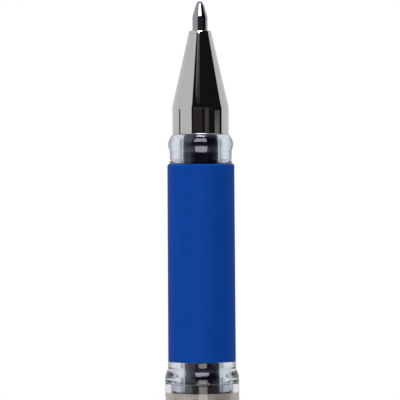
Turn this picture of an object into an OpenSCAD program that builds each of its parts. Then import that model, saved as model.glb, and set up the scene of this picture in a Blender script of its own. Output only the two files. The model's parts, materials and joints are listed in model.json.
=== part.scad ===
// Capped gel pen, standing point up on the flat end of its posted cap.
// Units are millimetres. +Z runs along the pen towards the writing point.
// Lengths on the pen are measured back from the top of the writing ball;
// lengths on the cap are measured up from its closed end.

/* [Overall] */
// Length of the pen without its cap, ball to tail
pen_len = 138; // [130:1:150]
// Length of the cap
cap_len = 65; // [65:1:70]
// How much of the tail the posted cap covers
post_overlap = 34; // [28:1:34]

/* [Refill] */
// Diameter of the writing ball
ball_d = 1.0; // [0.9:0.05:1.0]
// Diameter of the metal point's shank
point_d = 2.44; // [2.4:0.02:2.56]
// Outer diameter of the ink tube
tube_d = 5.7; // [5.6:0.1:5.8]
// Bore of the ink tube
tube_bore_d = 4.3; // [4.0:0.1:4.5]
// Length of the ink column when the pen is new
ink_len = 81.5; // [40:0.5:90]
// Length of the grease follower behind the ink
follower_len = 6; // [4:1:8]

/* [Nose cone] */
// How far the point stands out of the cone
point_out = 4.7; // [4:0.1:5]
// Diameter of the cone at its front
cone_tip_d = 3.46; // [3.3:0.02:3.6]
// Diameter of the cone at its base
cone_base_d = 9.04; // [8.8:0.02:9.2]
// Length of the tapered part
cone_taper_len = 12.2; // [12:0.1:12.6]
// Length of the straight part behind the taper
cone_straight_len = 4.35; // [4:0.05:4.6]
// Pitch of the thread that holds the cone
thread_pitch = 1.2; // [1:0.1:1.3]

/* [Grip section] */
// Diameter over the collar bulge that the cap snaps on
bulge_d = 10.42; // [10.2:0.02:10.6]
// Diameter of the neck behind the bulge
neck_d = 9.92; // [9.6:0.02:10]
// Length of the rubber grip
grip_len = 31.7; // [28:0.1:32]
// Grip diameter at the front
grip_front_d = 10.76; // [10.5:0.02:10.8]
// Grip diameter at the rear
grip_rear_d = 10.88; // [10.6:0.02:10.88]

/* [Barrel] */
// Diameter of the barrel
barrel_d = 11.9; // [11.7:0.1:12.2]
// Length of the straight part of the barrel
barrel_straight_len = 37.6; // [30:0.1:38]
// Wall of the barrel's straight part
barrel_wall = 0.95; // [0.8:0.05:1]
// Thickness of the metallic inner sleeve
sleeve_wall = 0.2; // [0.15:0.05:0.3]

/* [Cap] */
// Outer diameter of the cap
cap_d = 12.5; // [12.4:0.1:13]
// Bore of the cap
cap_bore_d = 11.0; // [11:0.05:11.1]
// Width of the clip
clip_w = 4.2; // [3.5:0.1:5]
// Thickness of the clip strip
clip_t = 0.6; // [0.5:0.05:0.7]
// Length of the clip along the cap
clip_len = 42; // [34:1:46]

/* [Hidden] */
$fn = 96;

slack = 0.05;              // gap between faces that meet but aren't pressed together
total_len = cap_len + pen_len - post_overlap;

// Stations along the pen, measured back from the top of the ball
cone_front = point_out;
taper_end = cone_front + cone_taper_len;
cone_back = taper_end + cone_straight_len;
collar_front = cone_back + slack;
bulge_at = collar_front + 1.6;
neck_front = bulge_at + 1.35;
neck_back = neck_front + 1.3;
grip_front = neck_back + 0.45;
grip_back = grip_front + grip_len;
barrel_front = grip_back + 3.5;
sleeve_front = barrel_front + 1.5;
spigot_back = sleeve_front + 7.3;
taper_front = barrel_front + barrel_straight_len;
sleeve_back = taper_front - 0.8;
tail_front = taper_front + 4.5;
plug_flange = 1.4;
barrel_back = pen_len - plug_flange;

// Radii
ball_r = ball_d / 2;
point_r = point_d / 2;
tube_r = tube_d / 2;
tube_bore_r = tube_bore_d / 2;
cone_base_r = cone_base_d / 2;
cone_slope = (cone_base_d - cone_tip_d) / 2 / cone_taper_len;
bulge_r = bulge_d / 2;
neck_r = neck_d / 2;
grip_seat_r = 4.5;
section_bore_r = tube_r + 0.25;
shoulder_r = grip_rear_d / 2 + 0.03;
barrel_r = barrel_d / 2;
barrel_bore_r = barrel_r - barrel_wall;
spigot_r = barrel_bore_r - sleeve_wall;
tail_root_r = cap_bore_d / 2 - 0.05;
tail_end_r = tail_root_r - 0.25;
tail_bore_r = 4.4;

// Thread: a round bar set off centre and twisted, so both halves are one true helix
thread_r = 3.7;
thread_off = 0.15;
thread_root_r = thread_r - thread_off;
thread_crest_r = thread_r + thread_off;
thread_gap = 0.12;
thread_front = taper_end - 0.1;
thread_back = cone_back - 0.45;
thread_sides = 24;
thread_slices_per_turn = 20;

// Refill stations
holder_front = 8.25;
holder_flange = 14.5;
tube_front = holder_flange + 1.0;
holder_back = tube_front + 5.0;
point_back = 12.5;
ink_front = holder_back;
ink_back = ink_front + ink_len;
follower_back = ink_back + follower_len;
tube_back = pen_len - 6;
spring_front = 3.2;
spring_back = point_back - 0.1;
spring_wire_r = 0.06;
spring_coil_r = 0.45;
spring_turns = 7;

// Cap stations, measured up from its closed end
crown_flange = 1.6;
cap_r = cap_d / 2;
cap_bore_r = cap_bore_d / 2;
cap_end_bore_r = 4.6;
inner_floor = 3.2;
lip_back = 30.5;
rim_band = 3.6;
rim_rise = 0.12;
capped_tip = cap_len - (grip_back + 1.8);
clip_gap = 1.6;
clip_slot_play = 0.2;
clip_tab_in = 3.1;

// Height of a station on the pen and a profile given as [radius, station] points
function up(station) = total_len - station;
function raised(points) = [for (p = points) [p[0], up(p[1])]];
// Points of an arc about [r, z], from angle a to angle b
function arc(centre, radius, a, b, steps = 8) =
    [for (i = [0:steps]) centre + radius * [cos(a + (b - a) * i / steps), sin(a + (b - a) * i / steps)]];
// Points of a smooth S-shaped blend between two [radius, station] points
function blend(from, to, steps = 10) =
    [for (i = [0:steps]) let (t = i / steps)
        [from[0] + (to[0] - from[0]) * (1 - cos(180 * t)) / 2, from[1] + (to[1] - from[1]) * t]];

module turned(points) rotate_extrude() polygon(raised(points));

// The twisted bar of the cone's thread, grown by a gap
module thread_bar(gap) {
    length = thread_back - thread_front;
    translate([0, 0, up(thread_back)])
        linear_extrude(height = length, twist = -360 * length / thread_pitch, $fn = thread_sides,
                       slices = ceil(length / thread_pitch * thread_slices_per_turn))
            translate([thread_off, 0]) circle(r = thread_r + gap, $fn = thread_sides);
}

// ---- Refill ----

module tip_ball() color("dimgray") translate([0, 0, up(ball_r)]) sphere(r = ball_r, $fn = 48);

lip_front = 0.32;
lip_r = 0.525;
crimp = [0.66, 0.62];         // radius and station where the crimped lip meets the taper
taper_back = [1.18, 2.35];    // radius and station where the taper meets the shoulder
shoulder_back = 2.65;
feed_r = 0.25;
point_bore_r = 0.62;
point_bore_front = 2.2;

module writing_point() color("silver") difference() {
    turned(concat(
        [[0, lip_front], [lip_r, lip_front], [lip_r + 0.075, lip_front + 0.18], crimp, taper_back],
        blend(taper_back + [0.01, 0.05], [point_r, shoulder_back], 4),
        [[point_r, point_back], [0, point_back]]));
    translate([0, 0, up(ball_r)]) sphere(r = ball_r + 0.012, $fn = 48);
    translate([0, 0, up(1.7)]) cylinder(r = feed_r, h = 1.2, $fn = 32);
    translate([0, 0, up(point_bore_front)]) cylinder(r1 = point_bore_r, r2 = feed_r, h = 0.6, $fn = 32);
    translate([0, 0, up(point_back + 1)])
        cylinder(r = point_bore_r, h = point_back + 1 - point_bore_front, $fn = 32);
}

// The spring's wire as [angle, radius, height]: straight from the ball, then spreading into a coil
spring_steps = 12;
spring_rise = (spring_back - spring_front) / spring_turns;
spring_path = concat(
    [[0, 0, up(ball_d + 0.03)], [0, 0, up(spring_front - 0.4)]],
    [for (i = [0:spring_turns * spring_steps]) let (t = i / spring_steps)
        [360 * t, spring_coil_r * min(1, 0.15 + t), up(spring_front + spring_rise * t)]]);

// A round wire along a path of [angle, radius, height]
module wire(path, radius, sides = 6) {
    n = len(path);
    centres = [for (p = path) [p[1] * cos(p[0]), p[1] * sin(p[0]), p[2]]];
    function along(i) = let (v = centres[min(n - 1, i + 1)] - centres[max(0, i - 1)]) v / norm(v);
    function outward(i) =
        let (v = along(i), o = [cos(path[i][0]), sin(path[i][0]), 0], s = o - (o * v) * v) s / norm(s);
    rings = [for (i = [0:n - 1])
        let (s = outward(i), u = cross(along(i), s))
        for (k = [0:sides - 1])
            centres[i] + radius * (cos(360 * k / sides) * s + sin(360 * k / sides) * u)];
    walls = [for (i = [0:n - 2])
        for (k = [0:sides - 1])
            let (a = i * sides + k, b = i * sides + (k + 1) % sides)
            for (face = [[a, a + sides, b + sides], [a, b + sides, b]]) face];
    ends = [[for (k = [0:sides - 1]) k], [for (k = [sides - 1:-1:0]) (n - 1) * sides + k]];
    polyhedron(rings, concat(walls, ends));
}

module ball_spring() color("lightsteelblue") wire(spring_path, spring_wire_r);

module point_holder() color("whitesmoke") difference() {
    turned([[0, holder_front], [1.6, holder_front], [1.9, holder_front + 1.25], [2.4, holder_flange - 0.7],
            [tube_r, holder_flange], [tube_r, tube_front], [tube_bore_r, tube_front],
            [tube_bore_r, holder_back - 0.4], [tube_bore_r - 0.3, holder_back], [0, holder_back]]);
    translate([0, 0, up(point_back)]) cylinder(r = point_r, h = point_back);
    translate([0, 0, up(holder_back + 1)]) cylinder(r = 0.4, h = 10);
    translate([0, 0, up(holder_back + 1)]) cylinder(r = 1.2, h = holder_back + 1 - point_back - 1);
}

module ink_tube() color("aliceblue") turned([
    [tube_bore_r, tube_front], [tube_r, tube_front], [tube_r, tube_back - 0.15], [tube_r - 0.15, tube_back],
    [tube_bore_r, tube_back]]);

module gel_ink() color("navy") turned([
    [0, ink_front], [tube_bore_r, ink_front], [tube_bore_r, ink_back], [0, ink_back]]);

module ink_follower() color("wheat") turned([
    [0, ink_back], [tube_bore_r, ink_back], [tube_bore_r, follower_back],
    [tube_bore_r - 0.5, follower_back - 0.35], [0, follower_back - 0.6]]);

// ---- Nose cone ----

// Radius of the cone's outside at a station on its taper
function cone_r(station) = cone_tip_d / 2 + (station - cone_front) * cone_slope;
cone_wall = 0.55;
cone_seat = holder_front - slack;

module nose_cone() color("gainsboro") difference() {
    turned(concat(
        [[0, cone_front], [cone_tip_d / 2 - 0.06, cone_front],
         [cone_r(cone_front + 0.08), cone_front + 0.08],
         [cone_base_r, taper_end], [cone_base_r, cone_back - 0.1],
         [cone_base_r - 0.1, cone_back], [0, cone_back]]));
    translate([0, 0, up(cone_seat + 1)]) cylinder(r = point_r + 0.05, h = cone_seat + 1);
    turned([[0, cone_seat], [cone_r(cone_seat) - cone_wall, cone_seat],
            [cone_r(thread_front) - cone_wall, thread_front], [0, thread_front]]);
    thread_bar(thread_gap);
    turned([[0, thread_back - 0.1], [thread_crest_r + thread_gap, thread_back - 0.1],
            [thread_crest_r + thread_gap, cone_back + 1], [0, cone_back + 1]]);
    turned([[0, thread_front - 0.01], [thread_root_r, thread_front - 0.01],
            [thread_root_r, thread_front + 0.1], [0, thread_front + 0.1]]);
}

// ---- Grip section and grip ----

// The threaded stem stops just short of the front of the cone's thread
stem_front = thread_front + 0.3;
collar_face_r = 4.52;
groove_depth = 0.2;
groove_width = 0.18;
bulge_rise = [for (i = [0:8]) let (t = i / 8)
    [collar_face_r + (bulge_r - collar_face_r) * sin(90 * t),
     collar_front + (bulge_at - collar_front) * t]];

module grip_section() color("lightcyan") difference() {
    union() {
        turned(concat(
            [[0, collar_front]],
            bulge_rise,
            blend([bulge_r, bulge_at + 0.1], [neck_r, neck_front], 8),
            [[neck_r, neck_back - groove_width], [neck_r - groove_depth, neck_back - groove_width + 0.02],
             [neck_r - groove_depth, neck_back - 0.02], [neck_r + 0.04, neck_back + 0.02],
             [neck_r + 0.07, grip_front],
             [grip_seat_r, grip_front], [grip_seat_r, grip_back], [shoulder_r, grip_back]],
            blend([shoulder_r, grip_back + 0.9], [barrel_r, grip_back + 2.7], 12),
            [[barrel_r + 0.015, grip_back + 3.2], [barrel_r - 0.12, barrel_front],
             [barrel_bore_r, barrel_front], [barrel_bore_r, sleeve_front], [spigot_r, sleeve_front],
             [spigot_r, spigot_back - 0.5], [spigot_r - 0.3, spigot_back], [0, spigot_back]]));
        turned([[0, stem_front], [thread_root_r, stem_front],
                [thread_root_r, collar_front + 0.1], [0, collar_front + 0.1]]);
        intersection() {
            thread_bar(0);
            turned([[0, stem_front], [thread_root_r, stem_front], [thread_crest_r + 0.1, stem_front + 0.4],
                    [thread_crest_r + 0.1, thread_back], [0, thread_back]]);
        }
    }
    translate([0, 0, up(spigot_back + 1)]) cylinder(r = section_bore_r, h = spigot_back + 1);
}

module rubber_grip() color("royalblue") {
    edge = 0.38;
    front_r = grip_front_d / 2;
    turned(concat(
        [[grip_seat_r, grip_front], [front_r - edge, grip_front]],
        [for (i = [1:6]) let (a = 90 * i / 6)
            [front_r - edge + edge * sin(a), grip_front + edge - edge * cos(a)]],
        [[grip_rear_d / 2, grip_back - 0.08], [grip_rear_d / 2 - 0.08, grip_back],
         [grip_seat_r, grip_back]]));
}

// ---- Barrel ----

module barrel() color("azure") turned(concat(
    [[barrel_bore_r, barrel_front], [barrel_r - 0.14, barrel_front], [barrel_r, barrel_front + 0.14],
     [barrel_r, taper_front]],
    blend([barrel_r, taper_front + 0.1], [tail_root_r, tail_front], 10),
    [[tail_end_r, barrel_back], [tail_bore_r, barrel_back], [tail_bore_r, taper_front + 0.3],
     [barrel_bore_r, sleeve_back]]));

module barrel_sleeve() color("tan") turned([
    [spigot_r, sleeve_front], [barrel_bore_r, sleeve_front],
    [barrel_bore_r, sleeve_back], [spigot_r, sleeve_back]]);

module tail_plug() color("mediumblue") difference() {
    turned([[0, tube_back - 3], [tail_bore_r - 0.3, tube_back - 3], [tail_bore_r, tube_back - 2.5],
            [tail_bore_r, barrel_back], [tail_end_r, barrel_back], [tail_end_r, pen_len - 0.5],
            [tail_end_r - 0.5, pen_len], [0, pen_len]]);
    translate([0, 0, up(tube_back + slack)]) cylinder(r = tube_r + 0.1, h = 10);
    translate([0, 0, up(pen_len + 1)]) cylinder(r = 0.8, h = 10);
    translate([0, 0, up(tube_back - 2.2)]) cylinder(r1 = tube_r + 0.1, r2 = tube_r + 0.9, h = 0.81);
}

// ---- Cap ----

// The slot that the clip's root lies in
module clip_slot() translate([clip_tab_in - 0.2, -clip_w / 2 - 0.1, crown_flange])
    cube([cap_r, clip_w + 0.2, clip_t + 2 * clip_slot_play]);

module cap_shell() color("ghostwhite") difference() {
    rotate_extrude() polygon(concat(
        [[cap_end_bore_r, crown_flange], [cap_r - 0.5, crown_flange]],
        arc([cap_r - 0.5, crown_flange + 0.5], 0.5, -80, 0, 5),
        [[cap_r, cap_len - rim_band - 0.3], [cap_r + rim_rise, cap_len - rim_band]],
        arc([cap_r + rim_rise - 0.4, cap_len - 0.4], 0.4, 0, 90, 6),
        [[cap_bore_r + 0.25, cap_len], [cap_bore_r, cap_len - 0.4], [cap_bore_r, inner_floor],
         [cap_end_bore_r, inner_floor]]));
    clip_slot();
}

// Clearance hollow for the capped nose, as [radius, height in the cap]
inner_hollow = [
    [0, inner_floor + 1.0], [1.6, inner_floor + 1.0], [1.6, capped_tip + cone_front - 1.2],
    [2.1, capped_tip + cone_front - 0.6],
    [cone_base_r + 0.2, capped_tip + taper_end + 0.6], [cone_base_r + 0.2, capped_tip + collar_front - 0.5],
    [bulge_r + 0.07, capped_tip + bulge_at - 1.0], [bulge_r + 0.07, capped_tip + bulge_at + 0.4],
    [neck_r + 0.07, capped_tip + neck_front], [neck_r + 0.07, lip_back - 0.4],
    [neck_r + 0.3, lip_back], [0, lip_back]];

module inner_cap() color("white") difference() {
    rotate_extrude() polygon([[0, inner_floor], [cap_bore_r, inner_floor], [cap_bore_r, lip_back - 0.3],
                              [cap_bore_r - 0.15, lip_back], [0, lip_back]]);
    rotate_extrude() polygon([for (p = inner_hollow) p + (p[1] == lip_back ? [0, 0.01] : [0, 0])]);
}

module tip_seal() color("dimgray") translate([0, 0, inner_floor + 1.0]) cylinder(r = 1.6, h = 1.0);

module cap_crown() color("mediumblue") difference() {
    rotate_extrude() polygon(concat(
        [[0, 0]], arc([cap_r - 0.85, 0.55], 0.55, -90, 0, 6),
        [[cap_r - 0.3, crown_flange], [cap_end_bore_r, crown_flange],
         [cap_end_bore_r, inner_floor], [0, inner_floor]]));
    clip_slot();
}

// Side view of the clip: root tab, bend, long arm and the bead that bears on the cap
clip_out = cap_r + clip_gap;
tab_z = crown_flange + clip_slot_play;
clip_top = tab_z + clip_len;
bead_r = 0.9;
bead_z = clip_top - 2.2;

module clip_profile() {
    polygon(concat(
        [[clip_tab_in, tab_z]],
        arc([clip_out - 0.9, tab_z + 1.5], 1.5, -90, 0, 8),
        [[clip_out + 0.6, tab_z + 6], [clip_out + 0.25, bead_z]],
        arc([clip_out + 0.45, clip_top - 0.4], 0.3, 0, 90, 4),
        [[clip_out - 0.1, clip_top - 0.6], [clip_out - 0.35, bead_z],
         [clip_out, tab_z + 6]],
        arc([clip_out - 0.9, tab_z + 1.5], 0.9, 0, -90, 6),
        [[clip_tab_in, tab_z + clip_t]]));
    translate([cap_r + slack + bead_r, bead_z]) circle(r = bead_r, $fn = 32);
}

module pocket_clip() color("gainsboro")
    translate([0, clip_w / 2, 0]) rotate([90, 0, 0]) linear_extrude(height = clip_w) clip_profile();

tip_ball();
ball_spring();
writing_point();
point_holder();
ink_tube();
gel_ink();
ink_follower();
nose_cone();
grip_section();
rubber_grip();
barrel();
barrel_sleeve();
tail_plug();
cap_shell();
inner_cap();
tip_seal();
cap_crown();
pocket_clip();
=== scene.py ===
# Looks of the gel pen, standing point up on its posted cap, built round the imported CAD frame.
# Stations, radii and the pieces' other sizes are in millimetres. The studio and all meshes are in metres.
import json
import math

import bmesh
import bpy
from mathutils import Matrix, Vector


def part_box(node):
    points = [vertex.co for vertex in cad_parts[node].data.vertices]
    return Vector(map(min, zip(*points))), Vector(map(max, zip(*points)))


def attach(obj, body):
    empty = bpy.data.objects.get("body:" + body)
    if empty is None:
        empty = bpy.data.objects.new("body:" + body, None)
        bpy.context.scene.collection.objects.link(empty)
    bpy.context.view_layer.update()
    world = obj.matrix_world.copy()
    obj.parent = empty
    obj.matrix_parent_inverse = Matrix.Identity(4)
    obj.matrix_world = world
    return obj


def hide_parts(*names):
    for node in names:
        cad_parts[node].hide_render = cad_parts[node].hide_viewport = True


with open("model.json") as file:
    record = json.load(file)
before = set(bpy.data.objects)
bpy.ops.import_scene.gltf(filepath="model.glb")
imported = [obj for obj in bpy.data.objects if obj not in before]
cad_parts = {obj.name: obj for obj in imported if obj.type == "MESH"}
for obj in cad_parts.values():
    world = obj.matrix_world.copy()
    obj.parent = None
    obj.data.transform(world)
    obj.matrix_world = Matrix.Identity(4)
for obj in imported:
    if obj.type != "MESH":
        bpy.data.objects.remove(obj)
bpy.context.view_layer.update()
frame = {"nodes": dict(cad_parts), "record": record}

MM = 0.001
TURN = 2 * math.pi

# ---------------------------------------------------------------------------
# Places, from the frame
# ---------------------------------------------------------------------------
# Stations are millimetres back from the top of the writing ball, as the CAD measures the pen.
TIP_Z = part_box("tip_ball")[1].z


def station_z(station):
    """Height in metres of a station in millimetres behind the top of the ball."""
    return TIP_Z - station * MM


def station_of(z):
    """Station in millimetres of a height in metres."""
    return (TIP_Z - z) / MM


def top_of(node):
    """Station in millimetres of a node's front."""
    return station_of(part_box(node)[1].z)


def end_of(node):
    """Station in millimetres of a node's back."""
    return station_of(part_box(node)[0].z)


def radius_of(node):
    """Half of a node's width across the pen, in millimetres."""
    low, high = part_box(node)
    return (high.y - low.y) / 2 / MM


def widest(node, front, back):
    """Largest radius of a node between two stations, in millimetres, with the station where it is."""
    points = [v.co for v in frame["nodes"][node].data.vertices if front <= station_of(v.co.z) <= back]
    best = max(points, key=lambda co: math.hypot(co.x, co.y))
    return math.hypot(best.x, best.y) / MM, station_of(best.z)


BALL_R = radius_of("tip_ball")
SHANK_R = radius_of("writing_point")
POINT_BACK = end_of("writing_point")
TUBE_R = radius_of("ink_tube")
TUBE_FRONT = top_of("ink_tube")
TUBE_BACK = end_of("ink_tube")
INK_R = radius_of("gel_ink")
INK_FRONT = top_of("gel_ink")
INK_BACK = end_of("gel_ink")
FOLLOWER_BACK = end_of("ink_follower")
HOLDER_FRONT = top_of("point_holder")
HOLDER_BACK = end_of("point_holder")
CONE_FRONT = top_of("nose_cone")
CONE_BACK = end_of("nose_cone")
CONE_BASE_R = radius_of("nose_cone")
GRIP_FRONT = top_of("rubber_grip")
GRIP_BACK = end_of("rubber_grip")
GRIP_REAR_R = radius_of("rubber_grip")
BARREL_FRONT = top_of("barrel")
BARREL_BACK = end_of("barrel")
BARREL_R = radius_of("barrel")
SLEEVE_FRONT = top_of("barrel_sleeve")
SLEEVE_BACK = end_of("barrel_sleeve")
SLEEVE_R = radius_of("barrel_sleeve")
SECTION_BACK = end_of("grip_section")
PLUG_FRONT = top_of("tail_plug")
PLUG_BACK = end_of("tail_plug")
GRIP_FRONT_R = widest("rubber_grip", GRIP_FRONT, GRIP_FRONT + 1)[0]
# The CAD cone's first full ring is a little behind its front, where the taper is 0.02 wider.
CONE_TIP_R = widest("nose_cone", CONE_FRONT, CONE_FRONT + 0.2)[0] - 0.02

# ---------------------------------------------------------------------------
# Mesh helpers
# ---------------------------------------------------------------------------
SEGMENTS = 160  # sides of a turned piece
LEAST_CORNER = math.radians(12)  # flatter corners of a profile are left as they are
SHARP_ANGLE = math.radians(34)  # steeper edges of a piece are shaded as corners
CUT_SHARP_ANGLE = math.radians(30)  # the same, for pieces with the clip's slot cut in them


def arc(centre_r, centre_s, radius, start, end, steps):
    """Points of an arc on a profile of (radius, station), angles in degrees."""
    out = []
    for i in range(steps + 1):
        a = math.radians(start + (end - start) * i / steps)
        out.append((centre_r + radius * math.cos(a), centre_s + radius * math.sin(a)))
    return out


def s_curve(r0, s0, r1, s1, steps):
    """Points of a smooth S-shaped blend between two points of a profile."""
    out = []
    for i in range(steps + 1):
        t = i / steps
        out.append((r0 + (r1 - r0) * (1 - math.cos(math.pi * t)) / 2, s0 + (s1 - s0) * t))
    return out


def straight(r0, s0, r1, s1, steps):
    """Evenly spaced points along a straight stretch of a profile."""
    return [(r0 + (r1 - r0) * i / steps, s0 + (s1 - s0) * i / steps) for i in range(steps + 1)]


def rounded(points, radius, steps):
    """A profile with its corners cut back by radius, or less where there is less room, and rounded."""
    out = []
    for i, p in enumerate(points):
        if i in (0, len(points) - 1):
            out.append(p)
            continue
        here, before, after = Vector(p), Vector(points[i - 1]), Vector(points[i + 1])
        a, b = before - here, after - here
        if a.angle(-b) < LEAST_CORNER:
            out.append(p)
            continue
        cut = min(radius, a.length * 0.45, b.length * 0.45)
        start, end = here + a.normalized() * cut, here + b.normalized() * cut
        for k in range(steps + 1):
            t = k / steps
            q = start * (1 - t) ** 2 + here * 2 * t * (1 - t) + end * t * t
            out.append((q.x, q.y))
    return out


def new_object(name, mesh, body, material, replaced):
    """A finished piece: linked, smooth, with its material, riding on its body in place of CAD nodes."""
    for face in mesh.polygons:
        face.use_smooth = True
    piece = bpy.data.objects.new(name, mesh)
    bpy.context.scene.collection.objects.link(piece)
    mesh.materials.append(material)
    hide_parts(*replaced)
    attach(piece, body)
    return piece


def lathe(name, profile, body, material, replaced, closed=True, to_z=station_z, wobble=None,
          segments=SEGMENTS):
    """A solid of revolution from (radius, station) points. A closed profile makes a ring, and an open one
    starts and ends on the axis. to_z turns a station into a height in metres, and
    wobble(angle, station, index) adds to the radius, for a thread."""
    bm = bmesh.new()
    rings = []
    for index, (r, s) in enumerate(profile):
        z = to_z(s)
        if r == 0:
            rings.append([bm.verts.new((0, 0, z))])
            continue
        ring = []
        for k in range(segments):
            a = TURN * k / segments
            q = (r + (wobble(a, s, index) if wobble else 0)) * MM
            ring.append(bm.verts.new((q * math.cos(a), q * math.sin(a), z)))
        rings.append(ring)
    pairs = list(zip(rings, rings[1:]))
    if closed:
        pairs.append((rings[-1], rings[0]))
    for one, two in pairs:
        for k in range(segments):
            j = (k + 1) % segments
            if len(one) == 1:
                bm.faces.new((one[0], two[k], two[j]))
            elif len(two) == 1:
                bm.faces.new((one[k], two[0], one[j]))
            else:
                bm.faces.new((one[k], two[k], two[j], one[j]))
    bmesh.ops.recalc_face_normals(bm, faces=bm.faces)
    mesh = bpy.data.meshes.new(name)
    bm.to_mesh(mesh)
    bm.free()
    piece = new_object(name, mesh, body, material, replaced)
    mesh.set_sharp_from_angle(angle=SHARP_ANGLE)
    return piece


# ---------------------------------------------------------------------------
# Materials
# ---------------------------------------------------------------------------
NOISE_LOW, NOISE_HIGH = 0.3, 0.7  # a noise texture's values lie mostly between these


class Recipe:
    """A material with a Principled shader, and short calls that wire texture nodes into it."""

    def __init__(self, name):
        self.material = bpy.data.materials.new(name)
        self.material.use_nodes = True
        self.tree = self.material.node_tree
        self.shader = self.tree.nodes["Principled BSDF"]

    def set(self, **values):
        """Constants on the shader's own sockets, named with _ for each space."""
        for key, value in values.items():
            self.shader.inputs[key.replace("_", " ")].default_value = value

    def node(self, kind, **settings):
        made = self.tree.nodes.new(kind)
        for key, value in settings.items():
            setattr(made, key, value)
        return made

    def link(self, source, output, target, socket):
        self.tree.links.new(source.outputs[output], target.inputs[socket])

    def place(self, stretch=(1, 1, 1)):
        """Object coordinates in millimetres, times stretch."""
        coords = self.node("ShaderNodeTexCoord")
        mapping = self.node("ShaderNodeMapping")
        mapping.inputs["Scale"].default_value = [1000 * v for v in stretch]
        self.link(coords, "Object", mapping, "Vector")
        return mapping

    def noise(self, scale, detail=3.0, stretch=(1, 1, 1), roughness=0.55):
        made = self.node("ShaderNodeTexNoise")
        made.inputs["Scale"].default_value = scale
        made.inputs["Detail"].default_value = detail
        made.inputs["Roughness"].default_value = roughness
        self.link(self.place(stretch), "Vector", made, "Vector")
        return made

    def ramp(self, noise, low, high):
        """The values of a noise, mapped to low..high."""
        made = self.node("ShaderNodeMapRange")
        made.inputs["From Min"].default_value = NOISE_LOW
        made.inputs["From Max"].default_value = NOISE_HIGH
        made.inputs["To Min"].default_value = low
        made.inputs["To Max"].default_value = high
        self.link(noise, "Fac", made, "Value")
        return made

    def roughness(self, low, high, scale=0.6, stretch=(1, 1, 1), detail=4.0):
        source = self.noise(scale, detail, stretch)
        self.link(self.ramp(source, low, high), "Result", self.shader, "Roughness")

    def colours(self, low, high, scale=0.4, stretch=(1, 1, 1), detail=3.0):
        source = self.noise(scale, detail, stretch)
        made = self.node("ShaderNodeMix", data_type="RGBA")
        made.inputs["A"].default_value = (*low, 1)
        made.inputs["B"].default_value = (*high, 1)
        self.link(self.ramp(source, 0, 1), "Result", made, "Factor")
        self.link(made, "Result", self.shader, "Base Color")

    def bump(self, source, strength, distance_mm, after=None):
        """Relief from a texture, on top of an earlier bump if one is given."""
        made = self.node("ShaderNodeBump")
        made.inputs["Strength"].default_value = strength
        made.inputs["Distance"].default_value = distance_mm * MM
        self.link(source, "Fac", made, "Height")
        if after is not None:
            self.link(after, "Normal", made, "Normal")
        self.link(made, "Normal", self.shader, "Normal")
        return made


def clear_plastic(name, tint=(0.74, 0.80, 0.87), ior=1.45, haze=0.0):
    """Polished polystyrene or polycarbonate, faintly wavy from the mould."""
    r = Recipe(name)
    r.set(Base_Color=(*tint, 1), Transmission_Weight=1.0, IOR=ior, Roughness=0.02 + haze)
    r.roughness(0.012 + haze, 0.05 + haze, scale=0.35)
    waves = r.noise(0.22, 2.0, (1, 1, 0.5))
    r.bump(waves, 0.25, 0.12)
    return r.material


def chrome(name, tint, low, high):
    """Chrome plate over brass or steel: hard, bright, with a few fine rubs along the pen."""
    r = Recipe(name)
    r.set(Base_Color=(*tint, 1), Metallic=1.0, Roughness=low)
    r.roughness(low, high, scale=1.4, stretch=(1, 1, 0.12), detail=6.0)
    rubs = r.noise(5.0, 8.0, (1, 1, 0.05), roughness=0.7)
    r.bump(rubs, 0.06, 0.01)
    return r.material


def turned_steel(name, tint, low, high, rings_per_mm):
    """Stainless steel with the fine rings that a lathe leaves."""
    r = Recipe(name)
    r.set(Base_Color=(*tint, 1), Metallic=1.0, Roughness=low)
    r.roughness(low, high, scale=3.0, stretch=(0.4, 0.4, 3.0), detail=5.0)
    rings = r.node("ShaderNodeTexWave", wave_type="BANDS", bands_direction="Z")
    rings.inputs["Scale"].default_value = rings_per_mm
    rings.inputs["Distortion"].default_value = 0.6
    rings.inputs["Detail"].default_value = 2.0
    r.link(r.place(), "Vector", rings, "Vector")
    r.bump(rings, 0.06, 0.004)
    return r.material


def rubber(name, dark, light, roughness=0.62):
    """Moulded rubber with a fine eroded skin and a faint bloom."""
    r = Recipe(name)
    r.set(Roughness=roughness, IOR=1.45, Specular_IOR_Level=0.05, Sheen_Weight=0.01, Sheen_Roughness=0.5)
    r.colours(dark, light, scale=0.35)
    r.roughness(roughness - 0.06, roughness + 0.08, scale=1.3)
    grain = r.noise(16.0, 4.0)
    skin = r.bump(grain, 0.22, 0.02)
    r.bump(r.noise(0.5, 2.0), 0.06, 0.05, after=skin)
    return r.material


def glossy_plastic(name, dark, light, roughness=0.16):
    """Pigmented moulded plastic with a faint orange peel."""
    r = Recipe(name)
    r.set(Roughness=roughness, IOR=1.5)
    r.colours(dark, light, scale=0.3)
    r.roughness(roughness - 0.04, roughness + 0.07, scale=0.9)
    r.bump(r.noise(1.6, 3.0), 0.10, 0.02)
    return r.material


def natural_plastic(name):
    """Milky unpigmented polypropylene."""
    r = Recipe(name)
    r.set(Roughness=0.34, IOR=1.49)
    r.set(Subsurface_Weight=0.35, Subsurface_Scale=0.002, Subsurface_Radius=(1.0, 0.95, 0.9))
    r.colours((0.74, 0.76, 0.79), (0.82, 0.83, 0.85), scale=0.3)
    r.roughness(0.28, 0.42, scale=1.1)
    r.bump(r.noise(2.4, 4.0), 0.10, 0.02)
    return r.material


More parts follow.
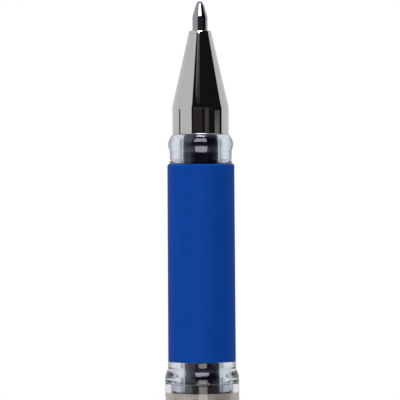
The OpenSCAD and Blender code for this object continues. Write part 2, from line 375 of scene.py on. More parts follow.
def ink(name):
    """Blue-black gel, wet against the tube's wall."""
    r = Recipe(name)
    r.set(Roughness=0.1, IOR=1.38, Specular_IOR_Level=0.1)
    r.colours((0.022, 0.019, 0.062), (0.032, 0.028, 0.088), scale=0.5, stretch=(1, 1, 0.3))
    r.roughness(0.06, 0.16, scale=0.7)
    r.bump(r.noise(0.9, 2.0, (1, 1, 0.3)), 0.12, 0.03)
    return r.material


def grease(name):
    """Pale amber grease behind the ink."""
    r = Recipe(name)
    r.set(Roughness=0.25, IOR=1.46, Subsurface_Weight=0.4, Subsurface_Scale=0.001)
    r.colours((0.62, 0.56, 0.38), (0.70, 0.65, 0.48), scale=0.6)
    r.bump(r.noise(1.2, 2.0), 0.1, 0.03)
    return r.material


def champagne(name):
    """Satin metallic foil with a fine fleck."""
    r = Recipe(name)
    r.set(Metallic=0.7, Roughness=0.42, IOR=1.5, Anisotropic=0.85, Anisotropic_Rotation=0.25)
    r.colours((0.84, 0.755, 0.62), (0.93, 0.84, 0.70), scale=7.0, detail=5.0)
    r.roughness(0.36, 0.48, scale=9.0)
    r.bump(r.noise(14.0, 3.0), 0.10, 0.01)
    return r.material


CLEAR = clear_plastic("clear_plastic")
CLEAR_BARREL = clear_plastic("barrel_plastic", (0.84, 0.84, 0.87))
CLEAR_TUBE = clear_plastic("tube_plastic", (0.86, 0.88, 0.92), ior=1.33, haze=0.08)
CAP_CLEAR = clear_plastic("cap_plastic", (0.93, 0.95, 0.975), haze=0.01)
CONE_CHROME = chrome("cone_chrome", (0.525, 0.52, 0.52), 0.015, 0.045)
CLIP_CHROME = chrome("clip_chrome", (0.58, 0.575, 0.575), 0.05, 0.12)
POINT_STEEL = turned_steel("point_steel", (0.31, 0.315, 0.335), 0.03, 0.07, 9.0)
BALL_CARBIDE = turned_steel("ball_carbide", (0.06, 0.065, 0.08), 0.08, 0.18, 4.0)
SPRING_STEEL = turned_steel("spring_steel", (0.45, 0.45, 0.46), 0.2, 0.3, 6.0)
BLUE_RUBBER = rubber("blue_rubber", (0.0018, 0.054, 0.335), (0.0022, 0.060, 0.365))
SEAL_RUBBER = rubber("seal_rubber", (0.012, 0.012, 0.014), (0.02, 0.02, 0.022), 0.55)
BLUE_PLASTIC = glossy_plastic("blue_plastic", (0.0022, 0.046, 0.30), (0.0028, 0.052, 0.33))
NATURAL = natural_plastic("natural_plastic")
INK = ink("gel_ink")
GREASE = grease("follower_grease")
FOIL = champagne("champagne_foil")

# ---------------------------------------------------------------------------
# Refill
# ---------------------------------------------------------------------------
# How far ink, rubber and foil press into the clear plastic they touch, so that no air shows between them.
CONTACT = 0.02
# Air film left between two clear parts that only touch.
AIR = 0.02
WIRE_R = 0.06


def tip_ball():
    steps = 24
    profile = [(0, 0)]
    for i in range(1, steps):
        a = math.pi * i / steps
        profile.append((BALL_R * math.sin(a), BALL_R - BALL_R * math.cos(a)))
    profile.append((0, 2 * BALL_R))
    piece = lathe("writing_ball", profile, "ball", BALL_CARBIDE, ["tip_ball"], closed=False, segments=48)


def writing_point():
    """Crimped lip, tapered tip, a small shoulder and the plain shank, with the ball's socket inside."""
    lip_r, lip_s, lip_round = 0.525, 0.32, 0.045
    taper_front_r, taper_front = 0.672, 0.66
    taper_back_r, taper_back = 1.174, 2.33
    shoulder_front_r, shoulder_front, shoulder_back = 1.187, 2.38, 2.62
    bore_r, bore_front = 0.62, 2.25
    feed_r, feed_front = 0.25, 1.65
    socket_r = BALL_R + 0.012
    inner_lip_r = math.sqrt(socket_r ** 2 - (BALL_R - lip_s) ** 2)
    crimp = [(0.575, 0.44), (0.605, 0.5), (0.64, 0.55), (0.66, 0.6)]
    outside = [(inner_lip_r, lip_s), (lip_r - 0.02, lip_s + 0.005)]
    outside += arc(lip_r - 0.02, lip_s + 0.05, lip_round, -90, 0, 4) + crimp
    outside += straight(taper_front_r, taper_front, taper_back_r, taper_back, 8)
    outside += s_curve(shoulder_front_r, shoulder_front, SHANK_R, shoulder_back, 8)
    outside += straight(SHANK_R, shoulder_back + 0.08, SHANK_R, POINT_BACK - 0.2, 6)
    outside += [(SHANK_R - 0.12, POINT_BACK), (bore_r, POINT_BACK)]
    bore = [(bore_r, bore_front), (feed_r, feed_front)]
    socket = []
    steps = 10
    low = math.asin(feed_r / socket_r)
    high = math.pi - math.asin(inner_lip_r / socket_r)
    for i in range(steps):
        a = low + (high - low) * i / steps
        socket.append((socket_r * math.sin(a), BALL_R + socket_r * math.cos(a)))
    piece = lathe("gel_point", outside + bore + socket, "refill", POINT_STEEL, ["writing_point"])


def spring_path():
    """The wire's (angle, radius, station) points: straight from the ball, then a coil."""
    coil_r = radius_of("ball_spring") - WIRE_R
    coil_front, coil_back = 3.2, end_of("ball_spring") - WIRE_R
    turns, steps = 7, 20
    path = [(0, 0, top_of("ball_spring")), (0, 0, coil_front - 0.4)]
    for i in range(turns * steps + 1):
        t = i / steps
        r = coil_r * min(1, 0.15 + t)
        path.append((TURN * t, r, coil_front + (coil_back - coil_front) * t / turns))
    return path


def ball_spring():
    """Fine steel wire inside the point, which pushes the ball out."""
    sides = 10
    path = spring_path()
    centres = [Vector((r * math.cos(a) * MM, r * math.sin(a) * MM, station_z(s))) for a, r, s in path]
    bm = bmesh.new()
    rings = []
    for i, centre in enumerate(centres):
        along = (centres[min(i + 1, len(centres) - 1)] - centres[max(i - 1, 0)]).normalized()
        angle = path[i][0]
        outward = Vector((math.cos(angle), math.sin(angle), 0))
        side = (outward - outward.dot(along) * along).normalized()
        up = along.cross(side)
        ring = []
        for k in range(sides):
            a = TURN * k / sides
            ring.append(bm.verts.new(centre + WIRE_R * MM * (math.cos(a) * side + math.sin(a) * up)))
        rings.append(ring)
    for one, two in zip(rings, rings[1:]):
        for k in range(sides):
            bm.faces.new((one[k], one[(k + 1) % sides], two[(k + 1) % sides], two[k]))
    bm.faces.new(reversed(rings[0]))
    bm.faces.new(rings[-1])
    bmesh.ops.recalc_face_normals(bm, faces=bm.faces)
    mesh = bpy.data.meshes.new("spring_wire")
    bm.to_mesh(mesh)
    bm.free()
    piece = new_object("spring_wire", mesh, "refill", SPRING_STEEL, ["ball_spring"])


def point_holder():
    """Socket that grips the point's shank at the front and plugs into the tube at the back."""
    face_r, shoulder_r = 1.6, 1.9
    body_r, neck_r = TUBE_R - 0.01, INK_R - 0.01
    grip_r, passage_r, throat_r = SHANK_R + 0.01, 1.2, 0.4
    profile = [(grip_r, HOLDER_FRONT), (face_r, HOLDER_FRONT), (shoulder_r, HOLDER_FRONT + 1.25)]
    profile += [(2.4, TUBE_FRONT - 1.7), (body_r, TUBE_FRONT - 1.0), (body_r, TUBE_FRONT - 0.02)]
    profile += [(neck_r, TUBE_FRONT - 0.02), (neck_r, HOLDER_BACK - 0.4), (INK_R - 0.3, HOLDER_BACK)]
    profile += [(passage_r, HOLDER_BACK), (passage_r, POINT_BACK + 1.0)]
    profile += [(throat_r, POINT_BACK + 1.0), (throat_r, POINT_BACK), (grip_r, POINT_BACK)]
    piece = lathe("refill_holder", rounded(profile, 0.12, 4), "refill", NATURAL, ["point_holder"])


def ink_tube():
    profile = [(INK_R, TUBE_FRONT), (TUBE_R, TUBE_FRONT), (TUBE_R, TUBE_BACK - 0.15)]
    profile += [(TUBE_R - 0.15, TUBE_BACK), (INK_R, TUBE_BACK)]
    piece = lathe("refill_tube", rounded(profile, 0.06, 3), "refill", CLEAR_TUBE, ["ink_tube"])


def gel_ink():
    r = INK_R + CONTACT
    profile = [(0, INK_FRONT), (r - 0.3, INK_FRONT + 0.001)]
    profile += straight(r, INK_FRONT + 0.02, r, INK_BACK, 10)
    profile += [(0, INK_BACK)]
    piece = lathe("ink_column", profile, "refill", INK, ["gel_ink"], closed=False)


def ink_follower():
    r = INK_R + CONTACT
    hollow_r, hollow_depth = 0.9, 0.62
    profile = [(0, INK_BACK), (r, INK_BACK)]
    profile += straight(r, INK_BACK + 0.05, r, FOLLOWER_BACK - 0.06, 3)
    profile += s_curve(r, FOLLOWER_BACK, hollow_r, FOLLOWER_BACK - 0.55, 8)
    profile += [(0, FOLLOWER_BACK - hollow_depth)]
    piece = lathe("grease_plug", profile, "refill", GREASE, ["ink_follower"], closed=False)


# ---------------------------------------------------------------------------
# Nose cone and its thread
# ---------------------------------------------------------------------------
PITCH = frame["record"]["behaviour"]["couplings"][0]["ratio"] * TURN / MM
THREAD_R = 3.7  # halfway up the clear section's thread
THREAD_DEPTH = 0.15  # from there to a crest or a root
THREAD_GAP = 0.12  # how much wider the cone's thread is
THREAD_STEPS = 84  # profile points along the thread
TAPER_END = CONE_FRONT + 12.2
THREAD_FRONT = TAPER_END - 0.1
THREAD_BACK = CONE_BACK - 0.45


def helix(angle, station):
    """The thread's rise at an angle and station: one start, right-handed."""
    front_fade, back_fade = 0.5, 0.25
    lift = math.cos(angle - TURN * (THREAD_BACK - station) / PITCH)
    fade = min(1, (station - THREAD_FRONT) / front_fade, (THREAD_BACK - station) / back_fade)
    return THREAD_DEPTH * lift * max(0, fade)


def nose_cone():
    """Tapered shell with a rounded mouth, and the thread's turns inside its base."""
    slope = (CONE_BASE_R - CONE_TIP_R) / (TAPER_END - CONE_FRONT)
    wall, bend, base_round = 0.55, 0.06, 0.1
    mouth_r = SHANK_R + 0.05
    seat = HOLDER_FRONT - 0.05
    thread_r = THREAD_R + THREAD_GAP
    mouth = [(mouth_r, CONE_FRONT + 0.06), (SHANK_R + 0.11, CONE_FRONT), (CONE_TIP_R - 0.08, CONE_FRONT)]
    mouth += arc(CONE_TIP_R - 0.05, CONE_FRONT + 0.06, 0.06, -80, -14, 4)
    outside = straight(CONE_TIP_R + 0.12 * slope, CONE_FRONT + 0.12,
                       CONE_BASE_R - bend * slope, TAPER_END - bend, 24)
    outside += straight(CONE_BASE_R, TAPER_END + bend, CONE_BASE_R, CONE_BACK - 0.12, 8)
    outside += arc(CONE_BASE_R - base_round, CONE_BACK - base_round, base_round, 0, 90, 4)
    counterbore_r = THREAD_R + THREAD_DEPTH + THREAD_GAP
    counterbore = [(counterbore_r, CONE_BACK), (counterbore_r, THREAD_BACK + 0.05)]
    turns = straight(thread_r, THREAD_BACK, thread_r, THREAD_FRONT, THREAD_STEPS)
    inside = [(THREAD_R - THREAD_DEPTH, THREAD_FRONT - 0.05)]
    inside += [(CONE_TIP_R + (THREAD_FRONT - CONE_FRONT) * slope - wall, THREAD_FRONT - 0.1)]
    inside += [(CONE_TIP_R + (seat - CONE_FRONT) * slope - wall, seat), (mouth_r, seat)]
    first = len(mouth + outside + counterbore)

    def thread(angle, station, index):
        return helix(angle, station) if first <= index < first + len(turns) else 0

    profile = mouth + outside + counterbore + turns + inside
    piece = lathe("nose_cone_shell", profile, "cone", CONE_CHROME, ["nose_cone"], wobble=thread)


# ---------------------------------------------------------------------------
# Clear front section, grip and barrel
# ---------------------------------------------------------------------------
COLLAR_FRONT = CONE_BACK + 0.05
BULGE_R, BULGE_AT = widest("grip_section", COLLAR_FRONT, COLLAR_FRONT + 3)
NECK_BACK = GRIP_FRONT - 0.45
NECK_FRONT = NECK_BACK - 1.3
GROOVE_DEPTH = 0.2
GROOVE_WIDTH = 0.18
NECK_R = widest("grip_section", NECK_FRONT - 0.01, NECK_BACK - 0.3)[0]
COLLAR_FACE_R = 4.52
SEAT_R = 4.5
SECTION_BORE_R = TUBE_R + 0.25
TAIL_BORE_R = 4.4


def bulge():
    """The collar's outside, from its face out to its widest ring."""
    steps = 14
    out = []
    for i in range(1, steps + 1):
        t = i / steps
        out.append((COLLAR_FACE_R + (BULGE_R - COLLAR_FACE_R) * math.sin(math.pi / 2 * t),
                    COLLAR_FRONT + (BULGE_AT - COLLAR_FRONT) * t))
    return out


def collar_profile():
    """Face, bulge and neck of the collar, with the groove behind the neck."""
    groove = NECK_BACK - GROOVE_WIDTH
    groove_r = NECK_R - GROOVE_DEPTH
    out = [(THREAD_R - THREAD_DEPTH, COLLAR_FRONT), (COLLAR_FACE_R - 0.06, COLLAR_FRONT)]
    out += [(COLLAR_FACE_R + 0.01, COLLAR_FRONT + 0.04)] + bulge()
    out += s_curve(BULGE_R, BULGE_AT + 0.1, NECK_R, NECK_FRONT, 14)
    out += straight(NECK_R, NECK_FRONT + 0.1, NECK_R, groove - 0.03, 3)
    out += [(NECK_R - 0.03, groove), (groove_r, groove + 0.02), (groove_r, NECK_BACK - 0.02)]
    out += [(NECK_R, NECK_BACK), (NECK_R + 0.04, NECK_BACK + 0.03), (NECK_R + 0.07, GRIP_FRONT - 0.03)]
    return out


def grip_section():
    """One clear moulding: threaded nose, collar, seat for the grip, flare, and plug into the barrel."""
    plug_r = SLEEVE_R - AIR
    spigot_r = SLEEVE_R - 0.2 - AIR
    flare_r = GRIP_REAR_R + 0.03
    flare_front, flare_back = GRIP_BACK + 0.9, GRIP_BACK + 2.7
    shoulder = 0.12
    nose_front = THREAD_FRONT + 0.3
    nose = [(SECTION_BORE_R, nose_front), (THREAD_R - THREAD_DEPTH - 0.1, nose_front)]
    thread = straight(THREAD_R, THREAD_FRONT + 0.4, THREAD_R, THREAD_BACK, THREAD_STEPS)
    seat = [(SEAT_R, GRIP_FRONT - 0.03)]
    seat += straight(SEAT_R, GRIP_FRONT + 0.05, SEAT_R, GRIP_BACK - 0.05, 6)
    seat += [(SEAT_R, GRIP_BACK + 0.01)]
    flare = [(flare_r - 0.05, GRIP_BACK + 0.01), (flare_r, GRIP_BACK + 0.06)]
    flare += s_curve(flare_r, flare_front, BARREL_R, flare_back, 18) + [(BARREL_R, GRIP_BACK + 3.15)]
    flare += arc(BARREL_R - shoulder, BARREL_FRONT - 0.17, shoulder, 0, 90, 4)
    plug = [(plug_r, BARREL_FRONT - 0.05), (plug_r, SLEEVE_FRONT - 0.02)]
    plug += [(spigot_r, SLEEVE_FRONT - 0.02), (spigot_r, SECTION_BACK - 0.5)]
    plug += [(spigot_r - 0.3, SECTION_BACK), (SECTION_BORE_R, SECTION_BACK)]
    bore = straight(SECTION_BORE_R, SECTION_BACK - 1, SECTION_BORE_R, THREAD_FRONT + 1, 12)
    first = len(nose)

    def turns(angle, station, index):
        return helix(angle, station) if first <= index < first + len(thread) else 0

    profile = nose + thread + collar_profile() + seat + flare + plug + bore
    piece = lathe("clear_section", profile, "barrel", CLEAR, ["grip_section"], wobble=turns)


def rubber_grip():
    edge, rear_edge = 0.4, 0.1
    profile = [(SEAT_R - CONTACT, GRIP_FRONT), (GRIP_FRONT_R - edge - 0.02, GRIP_FRONT)]
    profile += arc(GRIP_FRONT_R - edge, GRIP_FRONT + edge, edge, -80, 0, 8)
    profile += straight(GRIP_FRONT_R, GRIP_FRONT + edge + 0.1, GRIP_REAR_R, GRIP_BACK - 0.16, 60)
    profile += arc(GRIP_REAR_R - rear_edge, GRIP_BACK - rear_edge, rear_edge, 0, 90, 4)
    profile += [(SEAT_R - CONTACT, GRIP_BACK)]
    piece = lathe("grip_sleeve", profile, "barrel", BLUE_RUBBER, ["rubber_grip"])


def barrel():
    """Clear tube over the foil, narrowed at the back where the cap fits over it."""
    taper_front = SLEEVE_BACK + 0.8
    tail_front = taper_front + 4.5
    tail_root_r, tail_end_r = 5.45, 5.2
    bore_r = TAIL_BORE_R + AIR
    edge = 0.14
    profile = [(SLEEVE_R, BARREL_FRONT), (BARREL_R - edge, BARREL_FRONT)]
    profile += arc(BARREL_R - edge, BARREL_FRONT + edge, edge, -80, 0, 5)
    profile += straight(BARREL_R, BARREL_FRONT + 0.3, BARREL_R, taper_front, 20)
    profile += s_curve(BARREL_R, taper_front + 0.1, tail_root_r, tail_front, 18)
    profile += straight(tail_root_r, tail_front + 0.2, tail_end_r, BARREL_BACK - 0.05, 16)
    profile += [(tail_end_r - 0.05, BARREL_BACK), (bore_r, BARREL_BACK)]
    profile += straight(bore_r, BARREL_BACK - 0.4, bore_r, taper_front + 0.5, 10)
    profile += s_curve(bore_r, taper_front + 0.3, SLEEVE_R, SLEEVE_BACK, 6)
    profile += straight(SLEEVE_R, SLEEVE_BACK - 0.2, SLEEVE_R, BARREL_FRONT + 0.3, 12)
    piece = lathe("clear_barrel", profile, "barrel", CLEAR_BARREL, ["barrel"])


def barrel_sleeve():
    r = SLEEVE_R + CONTACT
    inner = SLEEVE_R - 0.19
    profile = [(inner, SLEEVE_FRONT)] + straight(r, SLEEVE_FRONT, r, SLEEVE_BACK, 16)
    profile += straight(inner, SLEEVE_BACK, inner, SLEEVE_FRONT + 0.5, 8)
    piece = lathe("foil_sleeve", profile, "barrel", FOIL, ["barrel_sleeve"])


def tail_plug():
    """Coloured plug in the barrel's end: flange, spigot, socket for the refill's end, and an air vent."""
    flange_r, flange_bevel = 5.2, 0.5
    spigot_r = TAIL_BORE_R - 0.01
    vent_r = 0.8
    socket_r, socket_floor = TUBE_R + 0.1, TUBE_BACK + 0.05
    profile = [(vent_r, PLUG_BACK), (flange_r - flange_bevel, PLUG_BACK)]
    profile += [(flange_r, PLUG_BACK - flange_bevel), (flange_r, BARREL_BACK), (spigot_r, BARREL_BACK)]
    profile += [(spigot_r, PLUG_FRONT + 0.5), (TAIL_BORE_R - 0.3, PLUG_FRONT), (socket_r + 0.9, PLUG_FRONT)]
    profile += [(socket_r, PLUG_FRONT + 0.8), (socket_r, socket_floor), (vent_r, socket_floor)]
    profile = rounded(profile + [profile[0]], 0.14, 4)[:-1]
    piece = lathe("end_plug", profile, "barrel", BLUE_PLASTIC, ["tail_plug"])


# ---------------------------------------------------------------------------
# Cap: profiles are (radius, height above the closed end), in millimetres
# ---------------------------------------------------------------------------
CAP_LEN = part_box("cap_shell")[1].z / MM
CROWN_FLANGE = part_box("cap_shell")[0].z / MM
RIM_R = radius_of("cap_shell")
CAP_R = RIM_R - 0.12
CAP_BORE_R = radius_of("inner_cap")
LINER_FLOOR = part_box("inner_cap")[0].z / MM
LINER_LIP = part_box("inner_cap")[1].z / MM
CAP_END_BORE_R = 4.6
RIM_BAND = 3.6
# Height in the cap of the ball's top when the cap is on the writing end, its rim 1.8 past the grip.
CAPPED_TIP = CAP_LEN - GRIP_BACK - 1.8
CLIP_LOW, CLIP_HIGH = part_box("pocket_clip")
CLIP_T = 0.6


def cap_z(height):
    """Height in metres of a height in millimetres above the cap's closed end."""
    return height * MM


def cut_clip_slot(piece):
    """Cut the slot that the clip's root lies in."""
    play = 0.1
    bpy.ops.mesh.primitive_cube_add(size=1)
    cutter = bpy.context.object
    tab_z = CLIP_LOW.z / MM
    low = Vector((CLIP_LOW.x / MM - 0.2, CLIP_LOW.y / MM - play, tab_z - 2 * play))
    high = Vector((2 * CAP_R, CLIP_HIGH.y / MM + play, tab_z + CLIP_T + 2 * play))
    cutter.scale = (high - low) * MM
    cutter.location = (high + low) / 2 * MM
    cut = piece.modifiers.new("clip_slot", "BOOLEAN")
    cut.object = cutter
    cut.operation = "DIFFERENCE"
    cut.solver = "EXACT"
    depsgraph = bpy.context.evaluated_depsgraph_get()
    shaped = bpy.data.meshes.new_from_object(piece.evaluated_get(depsgraph))
    piece.modifiers.remove(cut)
    piece.data = shaped
    bpy.data.objects.remove(cutter)
    shaped.set_sharp_from_angle(angle=CUT_SHARP_ANGLE)


def cap_shell():
    """Clear tube of the cap, with a thicker band at its rim."""
    corner, rim, lip = 0.5, 0.4, 0.3
    band = CAP_LEN - RIM_BAND
    liner_r = CAP_BORE_R + AIR
    profile = [(CAP_END_BORE_R + AIR, CROWN_FLANGE), (CAP_R - corner, CROWN_FLANGE)]
    profile += arc(CAP_R - corner, CROWN_FLANGE + corner, corner, -80, 0, 6)
    profile += straight(CAP_R, CROWN_FLANGE + 1.2, CAP_R, band - 0.4, 30)
    profile += s_curve(CAP_R, band - 0.3, RIM_R, band, 5)
    profile += arc(RIM_R - rim, CAP_LEN - rim, rim, 0, 90, 7)
    profile += arc(CAP_BORE_R + lip, CAP_LEN - lip, lip, 90, 180, 5)
    profile += straight(CAP_BORE_R, CAP_LEN - 1, CAP_BORE_R, LINER_LIP + 0.2, 14)
    profile += straight(liner_r, LINER_LIP, liner_r, LINER_FLOOR, 12)
    profile += [(CAP_END_BORE_R + AIR, LINER_FLOOR)]
    piece = lathe("clear_cap", profile, "cap", CAP_CLEAR, ["cap_shell"], to_z=cap_z)
    cut_clip_slot(piece)


def inner_cap():
    """Milky liner, hollowed to the shape of the cone, collar and neck that it seals round."""
    floor = LINER_FLOOR + 1
    tip_r, nose_r = 1.6, 2.1
    nose = CAPPED_TIP + CONE_FRONT
    base_r, bulge_r, neck_r = CONE_BASE_R + 0.2, BULGE_R + 0.07, NECK_R + 0.07
    hollow = [(0, floor), (tip_r, floor), (tip_r, nose - 1.2), (nose_r, nose - 0.6)]
    hollow += [(base_r, CAPPED_TIP + TAPER_END + 0.6), (base_r, CAPPED_TIP + COLLAR_FRONT - 0.5)]
    hollow += [(bulge_r, CAPPED_TIP + BULGE_AT - 1), (bulge_r, CAPPED_TIP + BULGE_AT + 0.4)]
    hollow += [(neck_r, CAPPED_TIP + NECK_FRONT), (neck_r, LINER_LIP - 0.4), (neck_r + 0.3, LINER_LIP)]
    outside = [(CAP_BORE_R - 0.15, LINER_LIP), (CAP_BORE_R, LINER_LIP - 0.3)]
    outside += straight(CAP_BORE_R, LINER_LIP - 1, CAP_BORE_R, LINER_FLOOR + 0.2, 14)
    outside += [(CAP_BORE_R - 0.2, LINER_FLOOR), (0, LINER_FLOOR)]
    profile = rounded(hollow + outside, 0.25, 4)
    piece = lathe("sealing_liner", profile, "cap", NATURAL, ["inner_cap"], closed=False, to_z=cap_z)


def tip_seal():
    """Soft pad that closes over the ball when the cap is on the writing end, with a shallow dimple."""
    low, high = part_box("tip_seal")
    r, bottom, top = radius_of("tip_seal") - 0.01, low.z / MM, high.z / MM
    foot, edge = 0.1, 0.15
    dimple_r, dimple = 0.9, 0.12
    profile = [(0, bottom), (r - foot, bottom)] + arc(r - foot, bottom + foot, foot, -80, 0, 4)
    profile += arc(r - edge, top - edge, edge, 0, 90, 5)
    profile += s_curve(dimple_r, top, 0.1, top - dimple, 8) + [(0, top - dimple)]
    piece = lathe("tip_pad", profile, "cap", SEAL_RUBBER, ["tip_seal"], closed=False, to_z=cap_z,
                  segments=64)


def cap_crown():
    """Coloured end cap with a shallow moulded dish in its face, which stands on its outer ring."""
    plug_r = CAP_END_BORE_R - AIR
    flange, plug_end = CROWN_FLANGE - AIR, LINER_FLOOR - AIR
    dish, dish_r, ring_r = 0.12, 3.5, 3.9
    edge = 0.55
    profile = [(0, dish), (dish_r - 0.1, dish)] + s_curve(dish_r, dish, ring_r, 0, 6)
    profile += straight(ring_r + 0.2, 0, CAP_R - 0.9, 0, 3)
    profile += arc(CAP_R - 0.85, edge, edge, -84, 0, 8)
    profile += [(CAP_R - 0.3, flange - 0.08), (CAP_R - 0.38, flange), (plug_r, flange)]
    profile += [(plug_r, LINER_FLOOR - 0.3), (plug_r - 0.25, plug_end), (0, plug_end)]
    piece = lathe("cap_end", profile, "cap", BLUE_PLASTIC, ["cap_crown"], closed=False, to_z=cap_z)
    cut_clip_slot(piece)


def clip_outline():
    """Side view of the clip in mm: root tab, bend, long arm, and the bead that bears on the cap."""
    out = CLIP_HIGH.x / MM - 0.75
    tab_in, tab_z = CLIP_LOW.x / MM, CLIP_LOW.z / MM
    top = CLIP_HIGH.z / MM + 0.1
    bend_r, bend = 0.9, (out - 0.9, tab_z + 1.5)
    bead_z, bead_r = top - 2.2, 0.9
    bead_x = CAP_R + 0.05 + bead_r
    arm_low, arm_high = tab_z + 6, tab_z + 34
    points = [(tab_in, tab_z)] + arc(*bend, bend_r + CLIP_T, -90, 0, 12)
    points += s_curve(out + CLIP_T, arm_low, out + 0.25, bead_z, 10)
    points += arc(out + 0.45, top - 0.4, 0.3, 0, 90, 6) + [(out - 0.1, top - 0.6)]
    points += arc(bead_x, bead_z, bead_r, 52, 300, 24)
    points += straight(out, arm_high, out, arm_low, 4)
    points += arc(*bend, bend_r, 0, -90, 10) + [(tab_in, tab_z + CLIP_T)]
    return points


def pocket_clip():
    """Pressed strip: the outline drawn across the clip's width, with all its long edges eased."""
    half = (CLIP_HIGH.y - CLIP_LOW.y) / 2
    eased = 0.14 * MM
    outline = clip_outline()
    bm = bmesh.new()
    near = [bm.verts.new((x * MM, -half, z * MM)) for x, z in outline]
    far = [bm.verts.new((x * MM, half, z * MM)) for x, z in outline]
    n = len(near)
    bm.faces.new(near)
    bm.faces.new(reversed(far))
    for i in range(n):
        bm.faces.new((near[i], far[i], far[(i + 1) % n], near[(i + 1) % n]))
    rims = [e for e in bm.edges if abs(e.verts[0].co.y - e.verts[1].co.y) < half / 2]
    bmesh.ops.bevel(bm, geom=rims, offset=eased, segments=3, profile=0.5, affect="EDGES")
    bmesh.ops.recalc_face_normals(bm, faces=bm.faces)
    mesh = bpy.data.meshes.new("clip_strip")
    bm.to_mesh(mesh)
    bm.free()
    piece = new_object("clip_strip", mesh, "clip", CLIP_CHROME, ["pocket_clip"])
    mesh.set_sharp_from_angle(angle=SHARP_ANGLE)


# ---------------------------------------------------------------------------
# Studio
# ---------------------------------------------------------------------------
EYE_DISTANCE = 0.585  # from the pen's axis to the camera
EYE_Z = station_z(19)
AIM = Vector((-0.00017, 0, station_z(31.84)))  # what the middle of the picture shows
FIELD = 0.0642  # width of the picture at the pen
LEAN = 0.36  # degrees that the pen leans to the left
ROOM_LEVEL = 0.85  # the white room lights the pen a little less than it shows behind it
FLOOR_R = 0.5
FLOOR_COLOUR = (0.86, 0.86, 0.86, 1)

# Glowing and dark panels round the pen, each a piece of a sphere: name, azimuths, elevations, distance,
# colour, strength and role. Azimuth 0 is the camera's side and positive is to its right. A strength of
# two numbers runs from the card's bottom to its top. A mirrored card shows in polished surfaces only, a
# lighting one lights matte surfaces only, a flag is seen through plastic only, and the rest do all three.
CARDS = [
    ("dark_card", (-37, 96), (-36, 62), 0.42, (1, 0.95, 0.95), 0.012, "all"),
    ("front_softbox", (-26, 25), (31, 55), 0.40, (0.82, 0.80, 1.0), 10.0, "mirrored"),
    ("softbox_corner", (-28, -5), (29.4, 31), 0.40, (0.82, 0.80, 1.0), 10.0, "mirrored"),
    ("low_softbox", (-22, 25), (-42, -19), 0.20, (0.82, 0.80, 1.0), 10.0, "mirrored"),
    ("rear_strip", (-11, 16), (-18, -7.5), 0.40, (1, 0.95, 0.92), 5.5, "mirrored"),
    ("rear_wide", (-50, 75), (-18, -7.5), 0.41, (1, 0.95, 0.92), 0.6, "mirrored"),
    ("blue_glow", (-30, 8), (3.2, 4.3), 0.39, (0.8, 0.76, 1.0), 0.15, "all"),
    ("blue_dim", (8, 60), (3.2, 4.3), 0.39, (0.75, 0.75, 1.0), 0.05, "all"),
    ("flag", (-96, -118), (-16, 16), 0.40, (0.93, 0.95, 1), 0.32, "flag"),
    ("flag_edge", (-118, -132), (-16, 16), 0.40, (0.93, 0.95, 1), 0.62, "flag"),
    ("flag", (96, 118), (-16, 16), 0.40, (0.93, 0.95, 1), 0.32, "flag"),
    ("flag_edge", (118, 132), (-16, 16), 0.40, (0.93, 0.95, 1), 0.62, "flag"),
    ("side_flag", (-96, -38), (-8, 8), 0.40, (0.45, 0.5, 1), 0.2, "flag"),
    ("back_card", (169, 191), (-30, 62), 0.42, (1, 0.97, 0.96), 0.03, "mirrored"),
    ("high_softbox", (-30, 27), (63, 84), 0.40, (0.84, 0.84, 1.0), 18.0, "mirrored"),
    ("fill_light", (-20, 32), (10, 50), 0.38, (0.98, 0.99, 1.0), 2.6, "lighting"),
    ("top_light", (-60, 60), (63, 84), 0.38, (0.98, 0.99, 1.0), 8.0, "lighting"),
    ("edge_strip", (-24, -15), (26, 29.4), 0.40, (1, 0.97, 0.96), (0.08, 0.46), "all"),
    ("edge_glow", (-15, -3), (26, 29.4), 0.40, (1, 0.95, 0.95), (0.05, 0.14), "all"),
    ("room_glow", (-30, 6), (-6, 12), 0.40, (1, 0.84, 0.82), 0.04, "all"),
    ("warm_wall", (17, 34), (-10, 6), 0.39, (1, 0.84, 0.82), 0.09, "all"),
    ("far_wall", (60, 84), (-1.6, 0.9), 0.40, (1, 0.93, 0.9), (0.42, 0.03), "all"),
    ("light_stand", (-98.5, -91), (-20, 2.5), 0.40, (1, 1, 0.93), 0.08, "all"),
]


def glowing_material(name, colour, strength):
    """A plain glow, or one that changes evenly from the bottom of a card to its top."""
    made = bpy.data.materials.new(name)
    made.use_nodes = True
    tree = made.node_tree
    tree.nodes.clear()
    glow = tree.nodes.new("ShaderNodeEmission")
    glow.inputs["Color"].default_value = (*colour, 1)
    out = tree.nodes.new("ShaderNodeOutputMaterial")
    tree.links.new(glow.outputs["Emission"], out.inputs["Surface"])
    if not isinstance(strength, tuple):
        glow.inputs["Strength"].default_value = strength
        return made
    bottom, top = strength
    glow.inputs["Strength"].default_value = top
    place = tree.nodes.new("ShaderNodeTexCoord")
    split = tree.nodes.new("ShaderNodeSeparateXYZ")
    level = tree.nodes.new("ShaderNodeMapRange")
    level.inputs["To Min"].default_value = bottom
    level.inputs["To Max"].default_value = top
    tree.links.new(place.outputs["Generated"], split.inputs["Vector"])
    tree.links.new(split.outputs["Z"], level.inputs["Value"])
    tree.links.new(level.outputs["Result"], glow.inputs["Strength"])
    return made


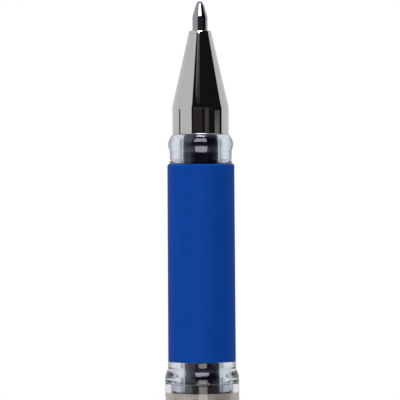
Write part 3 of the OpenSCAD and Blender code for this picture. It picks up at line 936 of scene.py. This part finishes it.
def curved_card(name, azimuths, elevations, distance, colour, strength, role):
    """One panel of CARDS, on a sphere centred on the pen's axis at the camera's height."""
    bm = bmesh.new()
    across, up = 24, 12
    grid = []
    for j in range(up + 1):
        e = math.radians(elevations[0] + (elevations[1] - elevations[0]) * j / up)
        row = []
        for i in range(across + 1):
            a = math.radians(azimuths[0] + (azimuths[1] - azimuths[0]) * i / across)
            x, y = distance * math.sin(a) * math.cos(e), -distance * math.cos(a) * math.cos(e)
            row.append(bm.verts.new((x, y, EYE_Z + distance * math.sin(e))))
        grid.append(row)
    for j in range(up):
        for i in range(across):
            bm.faces.new((grid[j][i], grid[j][i + 1], grid[j + 1][i + 1], grid[j + 1][i]))
    mesh = bpy.data.meshes.new(name)
    bm.to_mesh(mesh)
    bm.free()
    card = bpy.data.objects.new(name, mesh)
    bpy.context.scene.collection.objects.link(card)
    mesh.materials.append(glowing_material(name, colour, strength))
    card.visible_camera = False
    card.visible_diffuse = role in ("all", "lighting")
    card.visible_glossy = role in ("all", "mirrored")
    card.visible_transmission = role in ("all", "flag")


def white_room():
    """A white world, at full strength where the camera sees it and at ROOM_LEVEL as a light."""
    scene = bpy.context.scene
    scene.view_settings.view_transform = "Standard"
    world = bpy.data.worlds.new("white_studio")
    scene.world = world
    world.use_nodes = True
    tree = world.node_tree
    background = tree.nodes["Background"]
    background.inputs["Color"].default_value = (1, 1, 1, 1)
    seen = tree.nodes.new("ShaderNodeLightPath")
    level = tree.nodes.new("ShaderNodeMapRange")
    level.inputs["To Min"].default_value = ROOM_LEVEL
    level.inputs["To Max"].default_value = 1.0
    tree.links.new(seen.outputs["Is Camera Ray"], level.inputs["Value"])
    tree.links.new(level.outputs["Result"], background.inputs["Strength"])


def pale_floor():
    mesh = bpy.data.meshes.new("floor")
    bm = bmesh.new()
    bmesh.ops.create_circle(bm, cap_ends=True, radius=FLOOR_R, segments=96)
    bm.to_mesh(mesh)
    bm.free()
    floor = bpy.data.objects.new("floor", mesh)
    bpy.context.scene.collection.objects.link(floor)
    paint = Recipe("pale_floor")
    paint.set(Base_Color=FLOOR_COLOUR, Roughness=0.9)
    mesh.materials.append(paint.material)


def camera():
    data = bpy.data.cameras.new("camera")
    cam = bpy.data.objects.new("camera", data)
    bpy.context.scene.collection.objects.link(cam)
    eye = Vector((AIM.x, -EYE_DISTANCE, EYE_Z))
    look = (AIM - eye).to_track_quat("-Z", "Y")
    cam.location = eye
    cam.rotation_euler = (look.to_matrix() @ Matrix.Rotation(math.radians(-LEAN), 3, "Z")).to_euler()
    data.sensor_width = 36
    data.lens = data.sensor_width * (AIM - eye).length / FIELD
    data.clip_start, data.clip_end = 0.02, 20
    bpy.context.scene.camera = cam


camera()
white_room()
for card in CARDS:
    curved_card(*card)
pale_floor()
tip_ball()
ball_spring()
writing_point()
point_holder()
ink_tube()
gel_ink()
ink_follower()
nose_cone()
grip_section()
rubber_grip()
barrel()
barrel_sleeve()
tail_plug()
cap_shell()
inner_cap()
tip_seal()
cap_crown()
pocket_clip()
